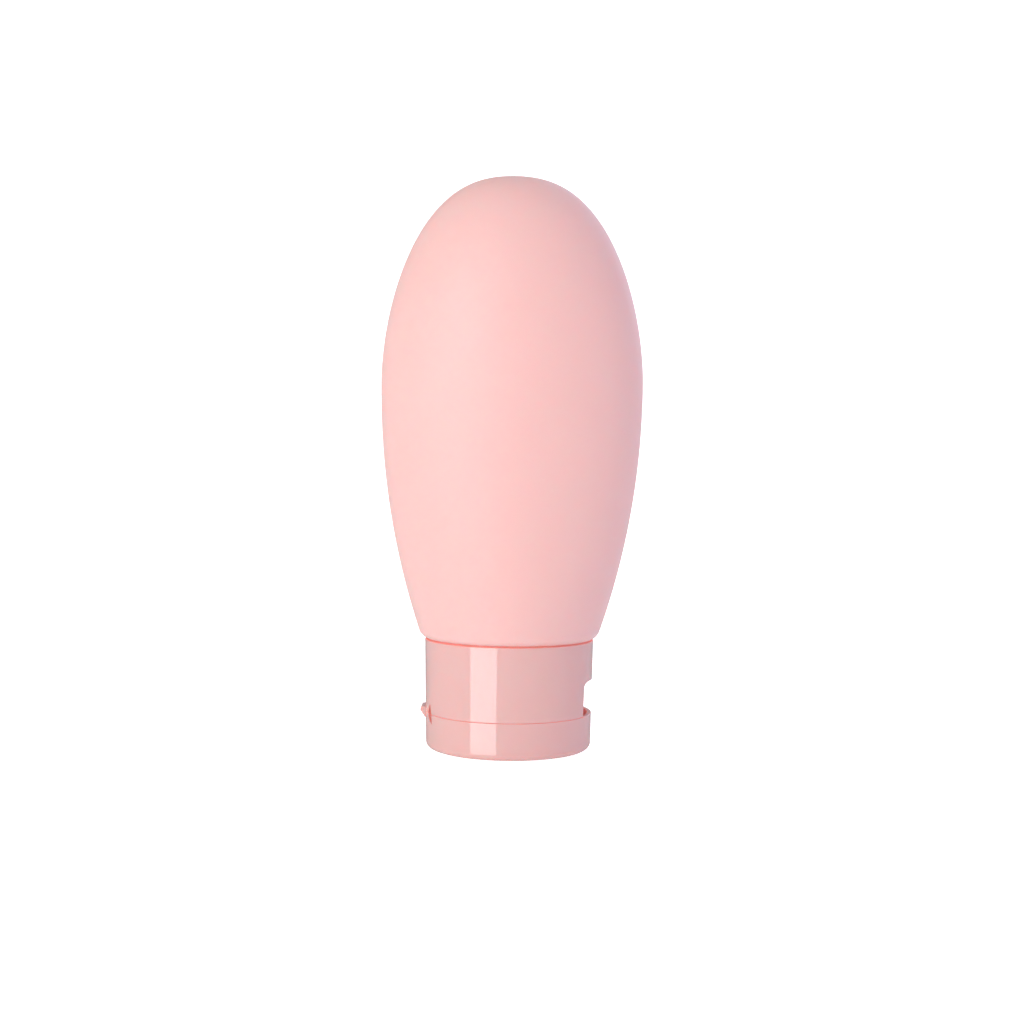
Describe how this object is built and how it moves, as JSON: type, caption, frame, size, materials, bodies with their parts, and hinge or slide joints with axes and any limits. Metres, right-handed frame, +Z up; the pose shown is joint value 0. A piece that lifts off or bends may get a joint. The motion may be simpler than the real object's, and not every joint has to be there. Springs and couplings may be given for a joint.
{
  "type": "travel bottle",
  "caption": "Small oval squeeze bottle that stands upside down on a round screw-on closure with a hinged flip-top lid.",
  "frame": {"origin": "centre of the lid's flat standing face, on the axis of the screw thread", "axes": "+Z up the bottle from the standing face to the top of the dome; +X towards the thumb recess, across the oval's width, with the lid's hinge on -X; +Y through the oval's depth, to the back"},
  "size_m": [0.05, 0.035, 0.109],
  "materials": {
    "body_plastic": "soft-touch matte, pale pink",
    "closure_plastic": "polished moulded polypropylene, pale pink",
    "liner_foam": "white expanded foam"
  },
  "bodies": {
    "bottle": {"bottle_body": "body_plastic"},
    "seal": {"seal_liner": "liner_foam"},
    "closure": {"cap_base": "closure_plastic", "living_hinge": "closure_plastic"},
    "lid": {"cap_lid": "closure_plastic"}
  },
  "joints": [
    {"name": "cap_lift", "type": "slide", "parent": "bottle", "child": "seal", "axis": [0, 0, -1], "range_m": [0, 0.0128]},
    {"name": "cap_turn", "type": "hinge", "parent": "seal", "child": "closure", "pos_m": [0, 0, 0.007], "axis": [0, 0, -1], "range_deg": [0, 1440]},
    {"name": "lid_hinge", "type": "hinge", "parent": "closure", "child": "lid", "pos_m": [-0.01667, 0, 0.0073], "axis": [0, 1, 0], "range_deg": [0, 170], "deforming": ["living_hinge"]}
  ],
  "couplings": [
    {"joint": "cap_lift", "follows": "cap_turn", "m_per_rad": 0.00050929}
  ]
}
